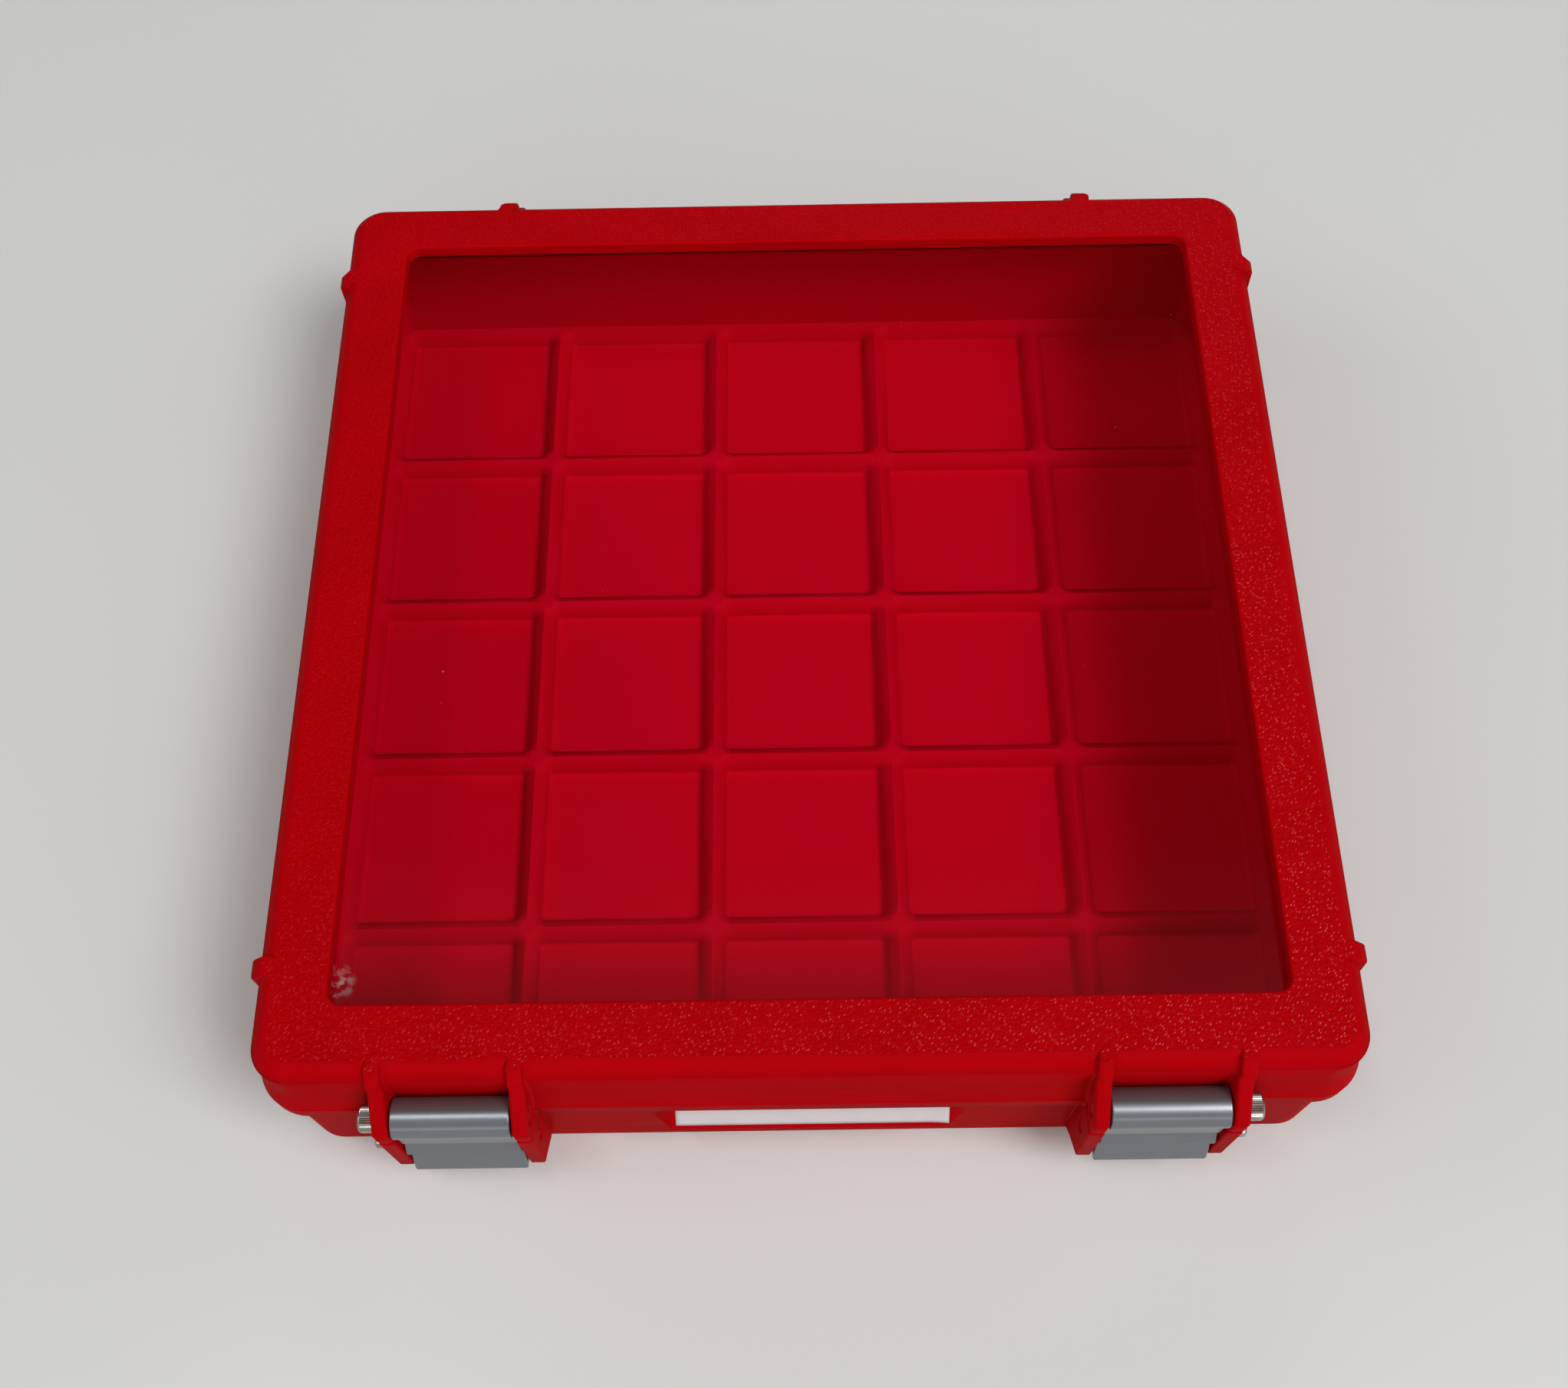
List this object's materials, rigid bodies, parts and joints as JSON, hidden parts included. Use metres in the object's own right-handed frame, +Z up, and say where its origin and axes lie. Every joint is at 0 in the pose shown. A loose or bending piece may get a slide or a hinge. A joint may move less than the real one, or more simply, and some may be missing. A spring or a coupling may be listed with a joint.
{
  "type": "small parts organizer box",
  "caption": "Low square storage box with a grid floor for loose bins, a hinged window lid and front clip latches.",
  "frame": {"origin": "centre of the flat underside of the box, on the surface that it stands on", "axes": "+Z up, -Y towards the latches, +X to the right seen from the front"},
  "size_m": [0.22, 0.2344, 0.0524],
  "materials": {
    "printed_red": "satin printed plastic with a pebbled top face",
    "printed_grey": "satin printed plastic",
    "clear_sheet": "clear polished sheet",
    "label_tape": "white laminated tape",
    "stainless_steel": "bright, knurled head"
  },
  "bodies": {
    "box": {"box_bottom": "printed_red", "label_strip": "label_tape", "left_catch_screw": "stainless_steel", "right_catch_screw": "stainless_steel", "left_hinge_screw": "stainless_steel", "right_hinge_screw": "stainless_steel"},
    "lid": {"lid_frame": "printed_red", "window_panel": "clear_sheet", "left_latch_screw": "stainless_steel", "right_latch_screw": "stainless_steel"},
    "left_latch": {"left_latch": "printed_grey"},
    "right_latch": {"right_latch": "printed_grey"}
  },
  "joints": [
    {"name": "lid_hinge", "type": "hinge", "parent": "box", "child": "lid", "pos_m": [0, 0.1124, 0.0348], "axis": [-1, 0, 0], "range_deg": [0, 180]},
    {"name": "left_latch_pivot", "type": "hinge", "parent": "lid", "child": "left_latch", "pos_m": [-0.07, -0.1124, 0.038], "axis": [-1, 0, 0], "range_deg": [0, 180]},
    {"name": "right_latch_pivot", "type": "hinge", "parent": "lid", "child": "right_latch", "pos_m": [0.07, -0.1124, 0.038], "axis": [-1, 0, 0], "range_deg": [0, 180]}
  ]
}
